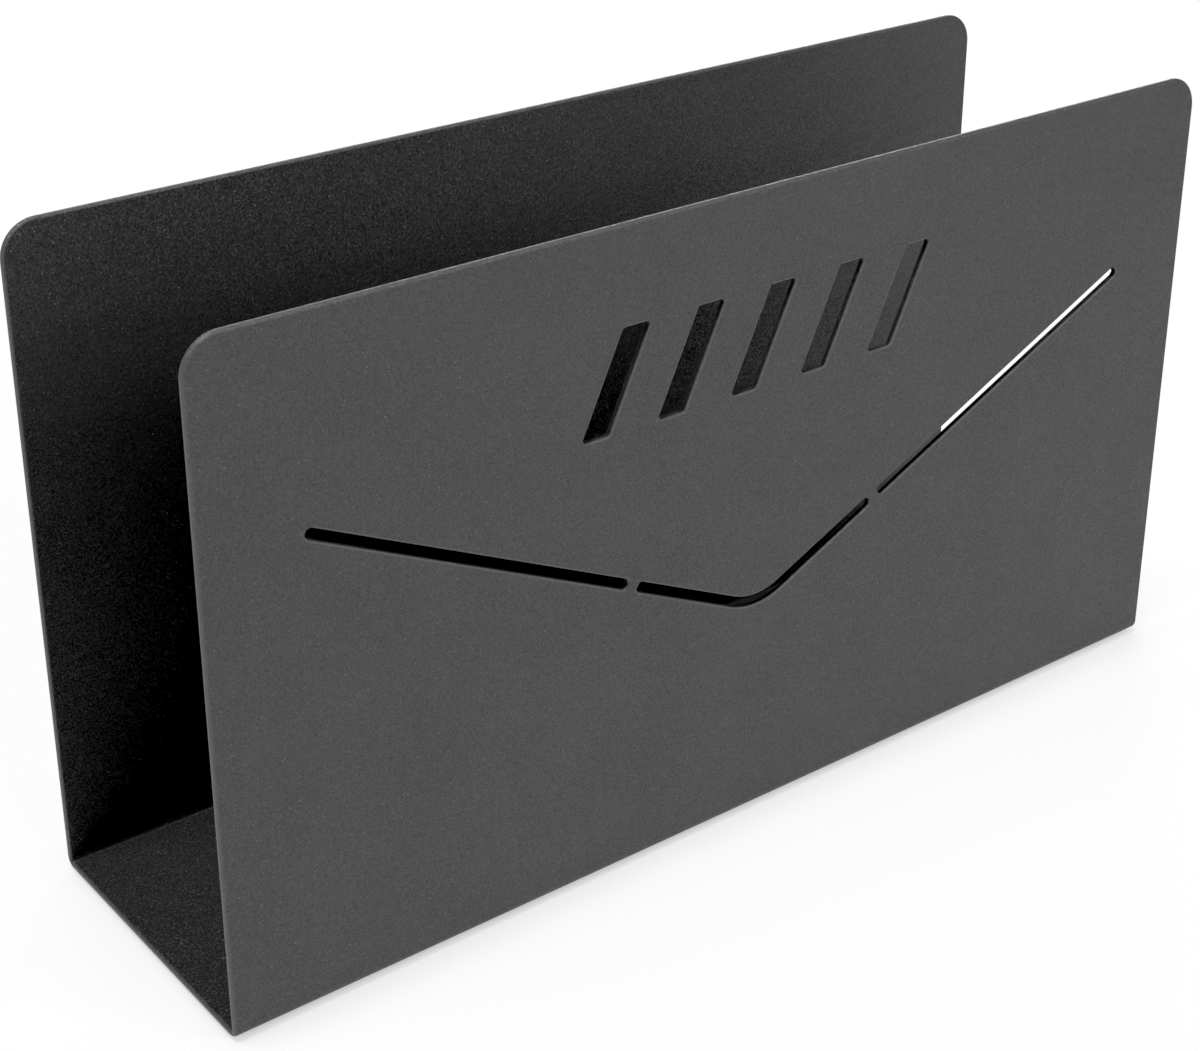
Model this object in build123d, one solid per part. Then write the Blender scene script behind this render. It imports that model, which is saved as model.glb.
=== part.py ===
from build123d import *
import math
import os

# Desk letter holder: one steel sheet, bent up twice into a U that letters stand in, on four thin stick-on pads.
# X runs along the letters, the front wall faces -Y, +Z is up, and the pads stand on Z = 0. Millimetres.

# Bent sheet
sheet_length = 250.0        # along X
holder_depth = 70.0         # outside of the front wall to outside of the back wall
wall_height = 140.0         # underside of the base to the top of a wall
sheet_thickness = 1.5       # steel and its powder coat
bend_inner_radius = 1.0     # inside of the two bends
wall_corner_radius = 7.5    # top corners of both walls

# Envelope flap cut through the front wall: slots along the two arms of a V, with a bridge of metal in each arm
flap_end_inset = 22.0       # end of the sheet to the middle of an arm's round end
flap_end_drop = 41.6        # top of the wall down to that same point
flap_height = 49.2          # from there down to where the middle lines of the arms would meet
flap_point_radius = 15.0    # rounds that meeting point, on the middle line
flap_slot_width = 2.2
bridge_offset = 32.3        # middle of the wall to the middle of a bridge, along X
bridge_width = 2.7          # metal between two round slot ends, along the arm

# Row of slanted bars cut through the front wall, above the flap
bar_count = 5
bar_pitch = 18.2            # along X
bar_width = 6.5             # along X
bar_height = 21.0
bar_lean = 25.0             # degrees from upright, tops towards +X
bar_corner_radius = 0.6
bar_top_drop = 20.5         # top of the wall down to the top of the bars

# Anti-slip pads, each stuck under the base by its own adhesive disc
pad_diameter = 10.0
pad_thickness = 0.4
pad_end_inset = 12.0        # end of the sheet to the middle of a pad
pad_side_inset = 12.0       # outside of a wall to the middle of a pad
adhesive_thickness = 0.2
adhesive_margin = 0.25      # how far the adhesive stays inside the pad's rim

# Heights and half sizes that follow from these
underside_z = pad_thickness + adhesive_thickness
top_z = underside_z + wall_height
half_length = sheet_length / 2
half_depth = holder_depth / 2

# The front wall's cut-outs are drawn on its outer face, with X across and Z up
front_face = Plane.XZ.offset(half_depth)


def flap_slots():
    """The three slots of the envelope flap, as one sketch on the front face."""
    end_x = half_length - flap_end_inset
    end_z = top_z - flap_end_drop
    point_z = end_z - flap_height
    slope = flap_height / end_x
    half_gap_x = (bridge_width + flap_slot_width) / 2 * math.cos(math.atan(slope))

    def on_arm(x):
        """The point of the V's middle line at a distance x from the middle of the wall."""
        return (x, point_z + slope * abs(x))

    middle_end_x = bridge_offset - half_gap_x
    side_start_x = bridge_offset + half_gap_x
    middle_line = FilletPolyline(
        on_arm(-middle_end_x), on_arm(0), on_arm(middle_end_x), radius=flap_point_radius
    )
    slots = SlotArc(middle_line, flap_slot_width)
    for side in (-1, 1):
        arm = Line(on_arm(side * side_start_x), on_arm(side * end_x))
        slots += SlotArc(arm, flap_slot_width)
    return slots


def slanted_bars():
    """The row of slanted bars, centred over the flap, as one sketch on the front face."""
    lean_x = bar_height * math.tan(math.radians(bar_lean)) / 2
    half_width = bar_width / 2
    half_height = bar_height / 2
    outline = Polyline(
        (-half_width - lean_x, -half_height),
        (half_width - lean_x, -half_height),
        (half_width + lean_x, half_height),
        (-half_width + lean_x, half_height),
        close=True,
    )
    bar = make_face(outline)
    bar = fillet(bar.vertices(), bar_corner_radius)
    middle_z = top_z - bar_top_drop - half_height
    return Pos(0, middle_z) * GridLocations(bar_pitch, 0, bar_count, 1) * bar


def bent_sheet():
    """The sheet: a U section drawn along X, with rounded wall corners and the cut-outs of the front wall."""
    cut_outs = flap_slots() + slanted_bars()
    with BuildPart() as sheet:
        with BuildSketch(Plane.YZ):
            with BuildLine():
                outside = FilletPolyline(
                    (-half_depth, top_z),
                    (-half_depth, underside_z),
                    (half_depth, underside_z),
                    (half_depth, top_z),
                    radius=bend_inner_radius + sheet_thickness,
                )
                offset(outside, amount=sheet_thickness, side=Side.LEFT)
            make_face()
        extrude(amount=half_length, both=True)
        wall_corners = sheet.edges().filter_by(Axis.Y).group_by(Axis.Z)[-1]
        fillet(wall_corners, wall_corner_radius)
        with BuildSketch(front_face):
            add(cut_outs)
        extrude(amount=2 * sheet_thickness, both=True, mode=Mode.SUBTRACT)
    return sheet.part


def disc(diameter, thickness, x, y, bottom_z):
    """A flat round disc standing on a height."""
    return Pos(x, y, bottom_z) * extrude(Circle(diameter / 2), amount=thickness)


os.makedirs("parts", exist_ok=True)
export_step(bent_sheet(), "parts/bent_sheet.step")

corners = {"front_left": (-1, -1), "front_right": (1, -1), "rear_left": (-1, 1), "rear_right": (1, 1)}
for corner, (side_x, side_y) in corners.items():
    x = side_x * (half_length - pad_end_inset)
    y = side_y * (half_depth - pad_side_inset)
    pad = disc(pad_diameter, pad_thickness, x, y, 0)
    adhesive = disc(pad_diameter - 2 * adhesive_margin, adhesive_thickness, x, y, pad_thickness)
    export_step(pad, f"parts/foot_pad_{corner}.step")
    export_step(adhesive, f"parts/pad_adhesive_{corner}.step")
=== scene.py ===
import math

import bpy
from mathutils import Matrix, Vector
from mathutils.geometry import delaunay_2d_cdt


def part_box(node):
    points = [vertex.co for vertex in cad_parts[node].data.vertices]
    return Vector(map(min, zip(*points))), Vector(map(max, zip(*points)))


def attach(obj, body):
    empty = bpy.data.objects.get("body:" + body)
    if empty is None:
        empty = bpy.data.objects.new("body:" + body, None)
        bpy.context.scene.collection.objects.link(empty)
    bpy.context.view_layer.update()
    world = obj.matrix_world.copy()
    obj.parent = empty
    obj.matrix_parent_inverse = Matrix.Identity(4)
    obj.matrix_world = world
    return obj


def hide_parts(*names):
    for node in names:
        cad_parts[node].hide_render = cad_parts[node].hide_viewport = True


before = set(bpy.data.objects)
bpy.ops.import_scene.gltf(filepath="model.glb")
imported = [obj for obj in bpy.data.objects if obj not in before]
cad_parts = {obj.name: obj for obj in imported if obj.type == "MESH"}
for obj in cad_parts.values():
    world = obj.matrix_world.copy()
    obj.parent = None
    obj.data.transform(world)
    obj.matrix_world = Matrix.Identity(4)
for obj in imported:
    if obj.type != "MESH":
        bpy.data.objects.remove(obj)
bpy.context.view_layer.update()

# Desk letter holder: one powder-coated steel sheet, cut flat, bent up twice into a U, on four thin pads.
# Metres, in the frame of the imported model: X along the letters, the front wall faces -Y, +Z is up.
MM = 0.001
QUARTER_TURN = math.pi / 2

# Sheet, from the frame
sheet_low, sheet_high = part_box("bent_sheet")
LENGTH = sheet_high.x - sheet_low.x
DEPTH = sheet_high.y - sheet_low.y
UNDERSIDE = sheet_low.z
TOP = sheet_high.z

# Sheet, sizes that the frame's boxes don't give
THICKNESS = 1.5 * MM
BEND_INNER_RADIUS = 1.0 * MM
BEND_OUTER_RADIUS = BEND_INNER_RADIUS + THICKNESS
WALL_CORNER_RADIUS = 7.5 * MM
RIM_ROUND = (0.7 * MM, 0.6 * MM)     # the sheet's rim, towards its outer and its inner face
HOLE_ROUND = (0.5 * MM, 0.3 * MM)    # the edges of its cut-outs, likewise

# Envelope flap
FLAP_END_INSET = 22.0 * MM
FLAP_END_DROP = 41.6 * MM
FLAP_HEIGHT = 49.2 * MM
FLAP_POINT_RADIUS = 15.0 * MM
FLAP_SLOT_WIDTH = 2.2 * MM
BRIDGE_OFFSET = 32.3 * MM
BRIDGE_WIDTH = 2.7 * MM

# Slanted bars
BAR_COUNT = 5
BAR_PITCH = 18.2 * MM
BAR_WIDTH = 6.5 * MM
BAR_HEIGHT = 21.0 * MM
BAR_LEAN = math.radians(25.0)
BAR_CORNER_RADIUS = 0.6 * MM
BAR_TOP_DROP = 20.5 * MM

# Pads
PAD_ROUND = 0.12 * MM

# Facets of each round stretch
EDGE_STEPS = 5
BEND_STEPS = 14
WALL_CORNER_STEPS = 16
SLOT_END_STEPS = 10
FLAP_POINT_STEPS = 14
BAR_CORNER_STEPS = 6
PAD_STEPS = 64
PAD_ROUND_STEPS = 3

# Triangles of the sheet's two faces
INSIDE_THE_RIM = 1                   # what delaunay_2d_cdt fills
TINY = 1e-9                          # a difference that counts as none

# Blank: the sheet before bending. Its rows run from the front wall's top edge, under the base,
# to the back wall's top edge.
WALL_RUN = TOP - UNDERSIDE - BEND_OUTER_RADIUS
BASE_RUN = DEPTH - 2 * BEND_OUTER_RADIUS
BEND_RUN = QUARTER_TURN * (BEND_INNER_RADIUS + THICKNESS / 2)
FIRST_BEND = WALL_RUN
BASE_START = FIRST_BEND + BEND_RUN
SECOND_BEND = BASE_START + BASE_RUN
BACK_START = SECOND_BEND + BEND_RUN
BLANK_RUN = BACK_START + WALL_RUN

# Powder coat
GRAINS_PER_METRE = 4700.0
GRAIN_TILT = 0.46
MOTTLES_PER_METRE = 55.0
GRAIN_TONE_SHARE = 0.75              # the rest of the tone comes from the mottle
COAT_GREYS = ((0.1, 0.034), (0.9, 0.002))    # (tone, grey)
COAT_ROUGHNESS = (0.40, 0.68)        # at tone 0 and at tone 1
SPECK_START = 0.996                  # grains that draw more than this, of 1, are light specks
SPECK_AND_HIGHLIGHT_GREY = 0.11                    # specks, and the painted highlight on cut edges
RIM_HIGHLIGHT = 0.8                      # how much of that grey a cut edge takes as a painted highlight

# Camera, at the photograph's viewing angle; its frame is 1200 by 1051
CAMERA_PLACE = Vector((-0.2763, -0.3421, 0.2807))
CAMERA_AIM = Vector((-0.0135, 0.0, 0.0862))
CAMERA_LENS = 68.6
CAMERA_SHIFT_Y = -0.10
BLACK_LEVEL = 0.0112                 # light that the picture shows as black

# Studio light: soft boxes round the holder, each (name, azimuth from +X, elevation, side, watts)
SOFT_BOXES = (
    ("front_right", 298.0, 25.0, 0.40, 5.0),
    ("front", 270.0, 38.0, 0.40, 2.9),
    ("front_low", 285.0, 14.0, 0.40, 1.9),
    ("left", 174.0, 62.0, 0.62, 6.6),
    ("top_left", 205.0, 75.0, 0.40, 11.2),
    ("rear_right", 43.0, 16.0, 0.55, 7.0),
    ("rear", 75.0, 22.0, 0.55, 4.0),
)
SOFT_BOX_DISTANCE = 1.5
SOFT_BOX_AIM = Vector((0.0, 0.0, 0.06))

# Floor; its glow is given as (share of the view that is open within reach, glow)
FLOOR_HALF = 8.0
FLOOR_GLOW = ((0.08, 0.40), (0.24, 0.57), (0.36, 0.64), (0.6, 0.675), (0.8, 0.73), (1.0, 0.755))
FLOOR_GLOW_REACH = 12.0 * MM


# Outlines on the blank
# Each is a list of (point, direction into the metal), both 2-D: x along the sheet, y across the rows.

def arc_points(centre, radius, start, end, steps, metal_outside):
    """Points of an arc, with the metal outside it (a hole's corner) or inside it (a corner of the blank)."""
    found = []
    for step in range(steps + 1):
        angle = start + (end - start) * step / steps
        out = Vector((math.cos(angle), math.sin(angle)))
        found.append((centre + out * radius, out if metal_outside else -out))
    return found


def bend_rows():
    """The rows where the blank is folded, a few for each bend."""
    rows = []
    for start in (FIRST_BEND, SECOND_BEND):
        rows += [start + BEND_RUN * step / BEND_STEPS for step in range(BEND_STEPS + 1)]
    return rows


def bend_share(row):
    """How far a row of the blank lies within a bend: 0 at its two sides, 1 in the middle third."""
    for start in (FIRST_BEND, SECOND_BEND):
        if start < row < start + BEND_RUN:
            return min(1.0, 3 * min(row - start, start + BEND_RUN - row) / BEND_RUN)
    return 0.0


def blank_outline():
    """The blank's rim, with a point on both ends of each bend row."""
    half, radius = LENGTH / 2, WALL_CORNER_RADIUS

    def corner(x, row, start):
        return arc_points(Vector((x, row)), radius, start, start + QUARTER_TURN, WALL_CORNER_STEPS, False)

    right = [(Vector((half, row)), Vector((-1, 0))) for row in bend_rows()]
    left = [(Vector((-half, row)), Vector((1, 0))) for row in reversed(bend_rows())]
    rim = corner(half - radius, radius, -QUARTER_TURN) + right
    rim += corner(half - radius, BLANK_RUN - radius, 0)
    rim += corner(radius - half, BLANK_RUN - radius, QUARTER_TURN) + left
    rim += corner(radius - half, radius, 2 * QUARTER_TURN)
    return rim


def slot_outline(line):
    """A round-ended slot along a middle line, which is a list of (point, tangent)."""
    half = FLAP_SLOT_WIDTH / 2
    one_side, other_side = [], []
    for point, along in line:
        across = Vector((-along.y, along.x))
        one_side.append((point + across * half, across))
        other_side.append((point - across * half, -across))

    def round_end(point, along):
        """The half circle beyond the end of the line, without its two ends."""
        angle = math.atan2(along.y, along.x)
        first, last = angle - QUARTER_TURN, angle + QUARTER_TURN
        return arc_points(point, half, first, last, SLOT_END_STEPS, True)[1:-1]

    start, along_start = line[0]
    end, along_end = line[-1]
    return other_side + round_end(end, along_end) + one_side[::-1] + round_end(start, -along_start)


def flap_outlines():
    """The three slots of the envelope flap."""
    end_x = LENGTH / 2 - FLAP_END_INSET
    point_row = FLAP_END_DROP + FLAP_HEIGHT
    slope = FLAP_HEIGHT / end_x
    tilt = math.atan(slope)
    half_gap = (BRIDGE_WIDTH + FLAP_SLOT_WIDTH) / 2 * math.cos(tilt)

    def on_arm(x):
        return Vector((x, point_row - slope * abs(x)))

    falling = Vector((math.cos(tilt), math.sin(tilt)))
    rising = Vector((math.cos(tilt), -math.sin(tilt)))
    arm_start, middle_end = BRIDGE_OFFSET + half_gap, BRIDGE_OFFSET - half_gap
    middle = [(on_arm(-middle_end), falling)]
    centre = Vector((0, point_row - FLAP_POINT_RADIUS / math.cos(tilt)))
    for step in range(FLAP_POINT_STEPS + 1):
        turn = tilt * (1 - 2 * step / FLAP_POINT_STEPS)
        along = Vector((math.cos(turn), math.sin(turn)))
        middle.append((centre + Vector((-along.y, along.x)) * FLAP_POINT_RADIUS, along))
    middle.append((on_arm(middle_end), rising))
    left = [(on_arm(-end_x), falling), (on_arm(-arm_start), falling)]
    right = [(on_arm(arm_start), rising), (on_arm(end_x), rising)]
    return [slot_outline(line) for line in (left, middle, right)]


def bar_outlines():
    """The row of slanted bars, each a leaning four-sided hole with small round corners."""
    lean = BAR_HEIGHT / 2 * math.tan(BAR_LEAN)
    middle_row = BAR_TOP_DROP + BAR_HEIGHT / 2
    half_w, half_h = BAR_WIDTH / 2, BAR_HEIGHT / 2
    corners = [
        Vector((-half_w - lean, half_h)),
        Vector((half_w - lean, half_h)),
        Vector((half_w + lean, -half_h)),
        Vector((-half_w + lean, -half_h)),
    ]
    outlines = []
    for bar in range(BAR_COUNT):
        middle = Vector(((bar - (BAR_COUNT - 1) / 2) * BAR_PITCH, middle_row))
        outline = []
        for index, corner in enumerate(corners):
            before = (corners[index - 1] - corner).normalized()
            after = (corners[(index + 1) % len(corners)] - corner).normalized()
            half_angle = math.acos(before.dot(after)) / 2
            inwards = (before + after).normalized()
            centre = middle + corner + inwards * (BAR_CORNER_RADIUS / math.sin(half_angle))
            start = math.atan2(-before.x, before.y)
            sweep = math.pi - 2 * half_angle
            outline += arc_points(centre, BAR_CORNER_RADIUS, start, start - sweep, BAR_CORNER_STEPS, True)
        outlines.append(outline)
    return outlines


def inside(outline, point):
    """True if a 2-D point lies within an outline."""
    crossings = 0
    for index, (a, _) in enumerate(outline):
        b = outline[index - 1][0]
        if (a.y > point.y) != (b.y > point.y):
            crossings += point.x < a.x + (b.x - a.x) * (point.y - a.y) / (b.y - a.y)
    return crossings % 2 == 1


# The bent sheet

def fold(x, row, depth, normal):
    """Takes a point of the blank, and its normal, to the bent sheet. Depth goes from outside to inside."""
    if row <= FIRST_BEND:
        turn, y, z = 0.0, -DEPTH / 2, TOP - row
    elif row < BASE_START:
        turn = (row - FIRST_BEND) / BEND_RUN * QUARTER_TURN
        y = BEND_OUTER_RADIUS * (1 - math.cos(turn)) - DEPTH / 2
        z = UNDERSIDE + BEND_OUTER_RADIUS * (1 - math.sin(turn))
    elif row <= SECOND_BEND:
        turn, y, z = QUARTER_TURN, row - BASE_START + BEND_OUTER_RADIUS - DEPTH / 2, UNDERSIDE
    elif row < BACK_START:
        turn = QUARTER_TURN + (row - SECOND_BEND) / BEND_RUN * QUARTER_TURN
        y = DEPTH / 2 - BEND_OUTER_RADIUS * (1 + math.cos(turn))
        z = UNDERSIDE + BEND_OUTER_RADIUS * (1 - math.sin(turn))
    else:
        turn, y, z = math.pi, DEPTH / 2, UNDERSIDE + BEND_OUTER_RADIUS + row - BACK_START
    cosine, sine = math.cos(turn), math.sin(turn)
    place = Vector((x, y + depth * cosine, z + depth * sine))
    along, across, through = normal
    return place, Vector((along, across * sine + through * cosine, through * sine - across * cosine))


def edge_levels(outer_round, inner_round, lips_only):
    """The steps from the outer face, round its edge, across the cut and round to the inner face.

    Each is (inset from the outline, depth, share of the cut's normal, share of the face's normal, shade).
    The shade is a painted highlight, which covers the whole cut or only its two lips."""
    highlight_turns = 2 if lips_only else 1
    outer, inner = [], []
    for step in range(EDGE_STEPS + 1):
        angle = QUARTER_TURN * step / EDGE_STEPS
        sine, cosine = math.sin(angle), math.cos(angle)
        # The shade is a painted highlight on the rounded cut edges
        shade = RIM_HIGHLIGHT * math.sin(highlight_turns * angle)
        outer.append((outer_round * (1 - sine), outer_round * (1 - cosine), sine, -cosine, shade))
        inner.append((inner_round * (1 - sine), THICKNESS - inner_round * (1 - cosine), sine, cosine, shade))
    return outer + inner[::-1]


def band_faces(first, rings, count):
    """Four-sided faces between closed rings of points, which are numbered ring by ring from the first."""
    faces = []
    for ring in range(rings - 1):
        here, there = first + ring * count, first + (ring + 1) * count
        for index in range(count):
            after = (index + 1) % count
            faces.append((here + index, here + after, there + after, there + index))
    return faces


def row_edges(rim):
    """Pairs of the rim's points that face each other across the sheet, such as a bend row's two ends."""
    rows = {}
    for index, (point, into) in enumerate(rim):
        if abs(into.y) < TINY:
            rows.setdefault(round(point.y / MM, 6), []).append(index)
    return [tuple(pair) for pair in rows.values() if len(pair) == 2]


def face_triangles(cuts, starts, level):
    """One face of the sheet: triangles between the rim and the holes, with an edge along each bend row."""
    outlines = [outline for outline, _ in cuts]
    points, owners, edges = [], [], row_edges(outlines[0])
    for first, (outline, levels) in zip(starts, cuts):
        start, count = len(points), len(outline)
        inset = levels[level][0]
        points += [point + into * inset for point, into in outline]
        owners += [first + level * count + index for index in range(count)]
        edges += [(start + index, start + (index + 1) % count) for index in range(count)]
    _, _, triangles, sources, _, _ = delaunay_2d_cdt(points, edges, [], INSIDE_THE_RIM, TINY)
    faces = []
    for triangle in triangles:
        corners = [sources[vertex][0] for vertex in triangle]
        middle = sum((points[corner] for corner in corners), Vector((0, 0))) / 3
        if not any(inside(hole, middle) for hole in outlines[1:]):
            faces.append(tuple(owners[corner] for corner in corners))
    return faces


def sheet_mesh():
    """The whole sheet: its cut edges with their rounding, then its outer and its inner face."""
    cuts = [(blank_outline(), edge_levels(*RIM_ROUND, lips_only=False))]
    cuts += [(hole, edge_levels(*HOLE_ROUND, lips_only=True)) for hole in flap_outlines() + bar_outlines()]
    places, normals, edge_highlights, bend_shades_and_mattes, faces, starts = [], [], [], [], [], []
    for outline, levels in cuts:
        starts.append(len(places))
        for inset, depth, cut_share, face_share, shade in levels:
            for point, into in outline:
                flat = point + into * inset
                out = (-into.x * cut_share, -into.y * cut_share, face_share)
                place, normal = fold(flat.x, flat.y, depth, out)
                places.append(place)
                normals.append(normal)
                edge_highlights.append(shade)
                # Points on the inner side of a bend take a painted shade and a matter finish
                bend_shades_and_mattes.append(bend_share(flat.y) if depth > THICKNESS / 2 else 0.0)
        faces += band_faces(starts[-1], len(levels), len(outline))
    outer_level, inner_level = 0, 2 * EDGE_STEPS + 1
    for level in (outer_level, inner_level):
        faces += face_triangles(cuts, starts, level)
    return places, normals, edge_highlights, bend_shades_and_mattes, faces


def make_sheet():
    """The bent sheet, which stands for its CAD node."""
    places, normals, edge_highlights, bend_shades_and_mattes, faces = sheet_mesh()
    coat = powder_coat()
    sheet = make_piece("coated_sheet", places, normals, faces, "bent_sheet", "powder_coated_steel", coat)
    # rim: a painted highlight on the cut edges
    sheet.data.attributes.new("rim", "FLOAT", "POINT").data.foreach_set("value", edge_highlights)
    # Painted shade and a matter finish inside the bends
    sheet.data.attributes.new("bend_shade_and_matte", "FLOAT", "POINT").data.foreach_set("value", bend_shades_and_mattes)


def make_piece(name, places, normals, faces, node, slot, finish):
    """A mesh with its own smooth normals, which stands for a CAD node."""
    mesh = bpy.data.meshes.new(name)
    mesh.from_pydata(places, [], faces)
    mesh.validate()
    for polygon in mesh.polygons:
        wanted = sum((normals[vertex] for vertex in polygon.vertices), Vector())
        if polygon.normal.dot(wanted) < 0:
            polygon.flip()
    mesh.update()
    mesh.shade_smooth()
    mesh.normals_split_custom_set_from_vertices(normals)
    mesh.materials.append(finish)
    piece = bpy.data.objects.new(name, mesh)
    bpy.context.scene.collection.objects.link(piece)
    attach(piece, "root")
    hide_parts(node)
    return piece


# Pads

def disc_mesh(low, high, rounding):
    """A flat round disc that fills a box, with rounded rims."""
    middle = (low + high) / 2
    radius, half = (high.x - low.x) / 2, (high.z - low.z) / 2
    rings = []
    for side in (1, -1):
        arc = []
        for step in range(PAD_ROUND_STEPS + 1):
            angle = QUARTER_TURN * step / PAD_ROUND_STEPS
            sine, cosine = math.sin(angle), math.cos(angle)
            ring_radius, z = radius - rounding * (1 - sine), half - rounding * (1 - cosine)
            arc.append((ring_radius, side * z, sine, side * cosine))
        rings += arc if side == 1 else arc[::-1]
    places, normals = [], []
    for ring_radius, z, outwards, upwards in rings:
        for step in range(PAD_STEPS):
            angle = 2 * math.pi * step / PAD_STEPS
            out = Vector((math.cos(angle), math.sin(angle), 0))
            places.append(middle + out * ring_radius + Vector((0, 0, z)))
            normals.append(out * outwards + Vector((0, 0, upwards)))
    faces = band_faces(0, len(rings), PAD_STEPS)
    faces.append(tuple(range(PAD_STEPS)))
    faces.append(tuple(range(len(places) - PAD_STEPS, len(places))))
    return places, normals, faces


def make_pads():
    """The four pads, each with its adhesive disc, which keeps its CAD shape."""
    rubber, adhesive = pad_rubber(), adhesive_film()
    for corner in ("front_left", "front_right", "rear_left", "rear_right"):
        node = "foot_pad_" + corner
        make_piece("pad_" + corner, *disc_mesh(*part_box(node), PAD_ROUND), node, "pad_rubber", rubber)
        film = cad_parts["pad_adhesive_" + corner]
        film.data.materials.clear()
        film.data.materials.append(adhesive)


# Materials

class Nodes:
    """A short way to write a node tree."""

    def __init__(self, tree):
        self.tree = tree
        tree.nodes.clear()

    def add(self, kind, inputs=None, **settings):
        """A new node with its settings and its inputs, which are values or other nodes' outputs."""
        node = self.tree.nodes.new(kind)
        for name, value in settings.items():
            setattr(node, name, value)
        for name, value in (inputs or {}).items():
            if isinstance(value, bpy.types.NodeSocket):
                self.tree.links.new(value, node.inputs[name])
            else:
                node.inputs[name].default_value = value
        return node

    def ramp(self, factor, stops):
        """A colour ramp through (place, grey) stops."""
        node = self.add("ShaderNodeValToRGB", {"Fac": factor})
        ramp = node.color_ramp
        for index, (place, grey) in enumerate(stops):
            element = ramp.elements[index] if index < 2 else ramp.elements.new(place)
            element.position = place
            element.color = (grey, grey, grey, 1)
        return node.outputs["Color"]

    def math(self, operation, a, b):
        """A sum, product or the like of two numbers."""
        return self.add("ShaderNodeMath", {0: a, 1: b}, operation=operation).outputs[0]

    def vector(self, operation, inputs):
        """A sum, multiple or the like of vectors."""
        return self.add("ShaderNodeVectorMath", inputs, operation=operation).outputs[0]


def new_material(name):
    """An empty material and its node tree."""
    material = bpy.data.materials.new(name)
    material.use_nodes = True
    return material, Nodes(material.node_tree)


def grain_normal(n, draw):
    """The face's normal, tilted by each grain's own draw, which is a colour."""
    lean = n.vector("SUBTRACT", {0: draw, 1: (0.5, 0.5, 0.5)})
    tilt = n.vector("SCALE", {0: lean, "Scale": GRAIN_TILT})
    face = n.add("ShaderNodeNewGeometry").outputs["Normal"]
    return n.vector("NORMALIZE", {0: n.vector("ADD", {0: face, 1: tilt})})


def powder_coat():
    """Matte black powder coat with a fine sand texture.

    Each grain is a small facet with its own tilt, shade and gloss, and a few are light specks. Cut edges get
    a painted highlight, and the inside of the bends a painted shade and a matter finish."""
    material, n = new_material("powder_coat")
    place = n.add("ShaderNodeTexCoord").outputs["Object"]
    grain = n.add("ShaderNodeTexVoronoi", {"Vector": place, "Scale": GRAINS_PER_METRE})
    draw = n.add("ShaderNodeSeparateColor", {"Color": grain.outputs["Color"]})
    mottle = n.add("ShaderNodeTexNoise", {
        "Vector": place,
        "Scale": MOTTLES_PER_METRE,
        "Detail": 4.0,
        "Roughness": 0.55,
    })
    # rim: painted highlight on cut edges
    rim = n.add("ShaderNodeAttribute", attribute_name="rim").outputs["Fac"]
    # Painted shade and a matter finish inside the bends
    bend_shade_and_matte = n.add("ShaderNodeAttribute", attribute_name="bend_shade_and_matte").outputs["Fac"]
    grain_tone = n.math("MULTIPLY", draw.outputs["Green"], GRAIN_TONE_SHARE)
    mottle_tone = n.math("MULTIPLY", mottle.outputs["Fac"], 1 - GRAIN_TONE_SHARE)
    tone = n.math("ADD", grain_tone, mottle_tone)
    speck = n.math("GREATER_THAN", draw.outputs["Blue"], SPECK_START)
    # Grey of the coat: darker inside the bends as painted shade, lighter on cut edges as a painted highlight
    # and at specks
    colour = n.add("ShaderNodeMix", {
        "Factor": n.math("MAXIMUM", rim, speck),
        "A": n.ramp(n.math("ADD", tone, bend_shade_and_matte), COAT_GREYS),
        "B": (SPECK_AND_HIGHLIGHT_GREY, SPECK_AND_HIGHLIGHT_GREY, SPECK_AND_HIGHLIGHT_GREY, 1),
    }, data_type="RGBA")
    smoothest, roughest = COAT_ROUGHNESS
    gloss = n.add("ShaderNodeMapRange", {"Value": tone, "To Min": smoothest, "To Max": roughest})
    shader = n.add("ShaderNodeBsdfPrincipled", {
        "Base Color": colour.outputs["Result"],
        "Roughness": n.math("MAXIMUM", gloss.outputs["Result"], bend_shade_and_matte),
        "Specular IOR Level": 1.0,
        "Normal": grain_normal(n, grain.outputs["Color"]),
    })
    n.add("ShaderNodeOutputMaterial", {"Surface": shader.outputs["BSDF"]})
    return material


def pad_rubber():
    """Black rubber film with a fine pebble and a little dust."""
    material, n = new_material("pad_rubber")
    place = n.add("ShaderNodeTexCoord").outputs["Object"]
    pebble = n.add("ShaderNodeTexVoronoi", {"Vector": place, "Scale": 2200.0}, feature="SMOOTH_F1")
    dust = n.add("ShaderNodeTexNoise", {"Vector": place, "Scale": 700.0, "Detail": 5.0, "Roughness": 0.7})
    bump = n.add("ShaderNodeBump", {
        "Height": pebble.outputs["Distance"],
        "Strength": 0.4,
        "Distance": 0.05 * MM,
    })
    shader = n.add("ShaderNodeBsdfPrincipled", {
        "Base Color": n.ramp(dust.outputs["Fac"], [(0.35, 0.018), (0.75, 0.05)]),
        "Roughness": 0.82,
        "Normal": bump.outputs["Normal"],
    })
    n.add("ShaderNodeOutputMaterial", {"Surface": shader.outputs["BSDF"]})
    return material


def adhesive_film():
    """Milky acrylic adhesive, faintly blotched."""
    material, n = new_material("adhesive_film")
    place = n.add("ShaderNodeTexCoord").outputs["Object"]
    blotch = n.add("ShaderNodeTexNoise", {"Vector": place, "Scale": 400.0, "Detail": 3.0})
    shader = n.add("ShaderNodeBsdfPrincipled", {
        "Base Color": n.ramp(blotch.outputs["Fac"], [(0.3, 0.5), (0.7, 0.66)]),
        "Roughness": 0.45,
    })
    n.add("ShaderNodeOutputMaterial", {"Surface": shader.outputs["BSDF"]})
    return material


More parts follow.
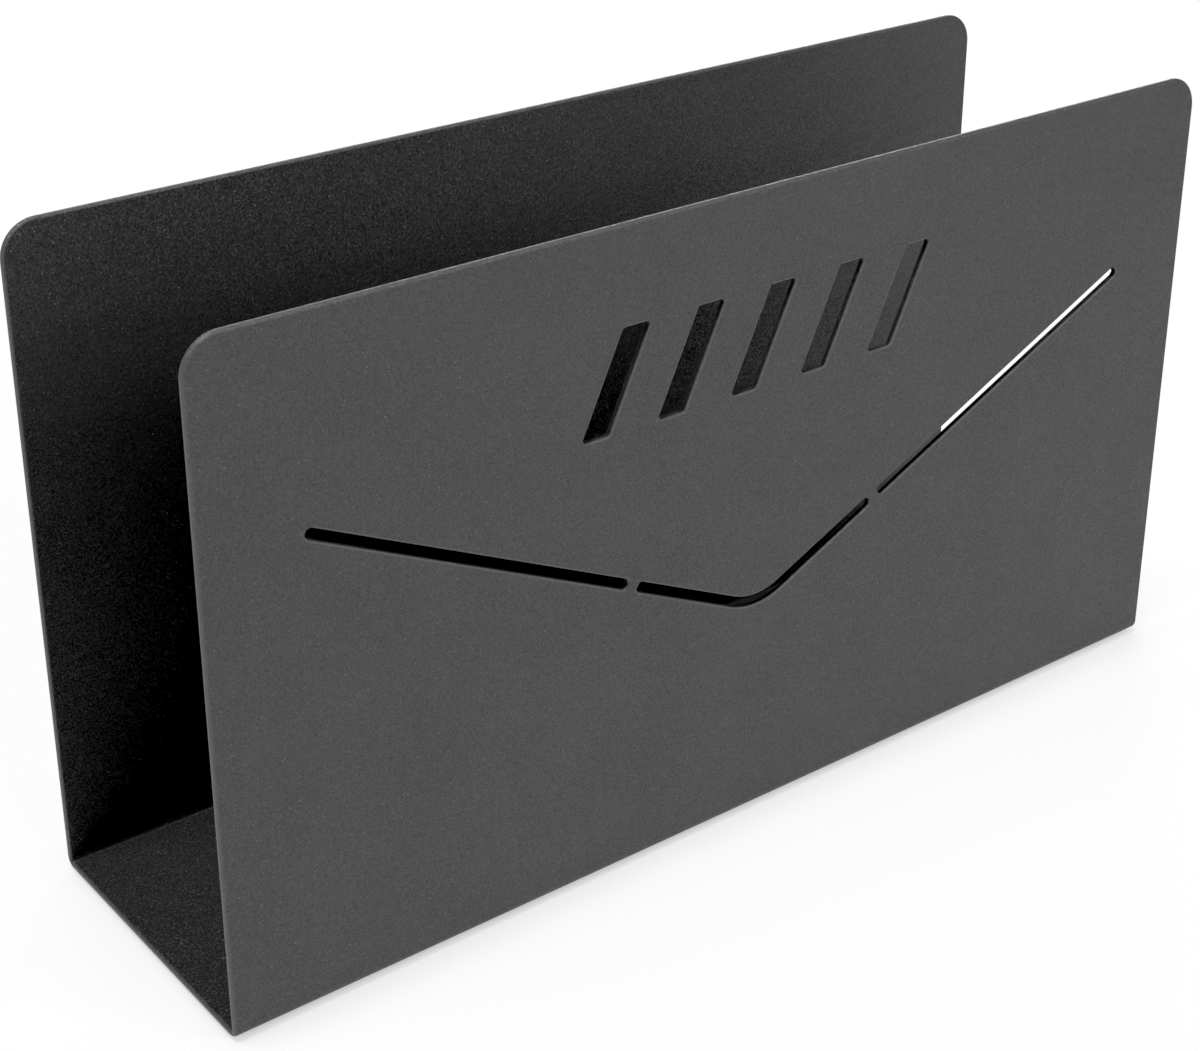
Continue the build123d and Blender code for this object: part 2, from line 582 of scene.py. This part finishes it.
def floor_white():
    """Plain white studio floor. Its glow is painted light from all round, and fades beside the holder as a
    painted contact shadow.
    """
    material, n = new_material("floor_white")
    shadow = n.add("ShaderNodeAmbientOcclusion", {"Distance": FLOOR_GLOW_REACH}, samples=16)
    shader = n.add("ShaderNodeBsdfPrincipled", {
        "Base Color": (0.25, 0.25, 0.25, 1),
        "Roughness": 0.9,
        "Specular IOR Level": 0.1,
        "Emission Color": n.ramp(shadow.outputs["AO"], FLOOR_GLOW),
        "Emission Strength": 1.0,
    })
    n.add("ShaderNodeOutputMaterial", {"Surface": shader.outputs["BSDF"]})
    return material


# Studio

def make_floor():
    """A wide square under the holder."""
    half = FLOOR_HALF
    corners = [(-half, -half, 0), (half, -half, 0), (half, half, 0), (-half, half, 0)]
    mesh = bpy.data.meshes.new("floor")
    mesh.from_pydata(corners, [], [(0, 1, 2, 3)])
    floor = bpy.data.objects.new("floor", mesh)
    bpy.context.scene.collection.objects.link(floor)
    mesh.materials.append(floor_white())


def soft_box(name, azimuth, elevation, side, power):
    """A square light that faces the holder and stays out of sight."""
    light = bpy.data.lights.new(name, "AREA")
    light.shape = "SQUARE"
    light.size = side
    light.energy = power
    lamp = bpy.data.objects.new(name, light)
    turn, rise = math.radians(azimuth), math.radians(elevation)
    out = Vector((math.cos(rise) * math.cos(turn), math.cos(rise) * math.sin(turn), math.sin(rise)))
    lamp.location = SOFT_BOX_AIM + out * SOFT_BOX_DISTANCE
    lamp.rotation_euler = (-out).to_track_quat("-Z", "Y").to_euler()
    lamp.visible_camera = False
    bpy.context.scene.collection.objects.link(lamp)


def make_world():
    """A plain white backdrop that only the camera sees, so it gives no light of its own."""
    world = bpy.data.worlds.new("studio")
    world.use_nodes = True
    bpy.context.scene.world = world
    n = Nodes(world.node_tree)
    unlit = n.add("ShaderNodeBackground", {"Color": (1, 1, 1, 1), "Strength": 0.0})
    white = n.add("ShaderNodeBackground", {"Color": (1, 1, 1, 1), "Strength": 1.0})
    seen = n.add("ShaderNodeLightPath").outputs["Is Camera Ray"]
    mixed = n.add("ShaderNodeMixShader", {0: seen, 1: unlit.outputs[0], 2: white.outputs[0]})
    n.add("ShaderNodeOutputWorld", {"Surface": mixed.outputs[0]})


def make_camera():
    """The photograph's camera."""
    data = bpy.data.cameras.new("camera")
    data.lens = CAMERA_LENS
    data.sensor_width = 36.0
    data.shift_y = CAMERA_SHIFT_Y
    data.clip_start = 0.01
    camera = bpy.data.objects.new("camera", data)
    camera.location = CAMERA_PLACE
    camera.rotation_euler = (CAMERA_AIM - CAMERA_PLACE).to_track_quat("-Z", "Y").to_euler()
    bpy.context.scene.collection.objects.link(camera)
    bpy.context.scene.camera = camera


def make_studio():
    """Floor, backdrop, light and camera, with the picture's black level."""
    make_floor()
    make_world()
    for box in SOFT_BOXES:
        soft_box(*box)
    make_camera()
    look = bpy.context.scene.view_settings
    look.view_transform = "Standard"
    look.use_curve_mapping = True
    look.curve_mapping.black_level = (BLACK_LEVEL, BLACK_LEVEL, BLACK_LEVEL)
    look.curve_mapping.update()


make_sheet()
make_pads()
make_studio()
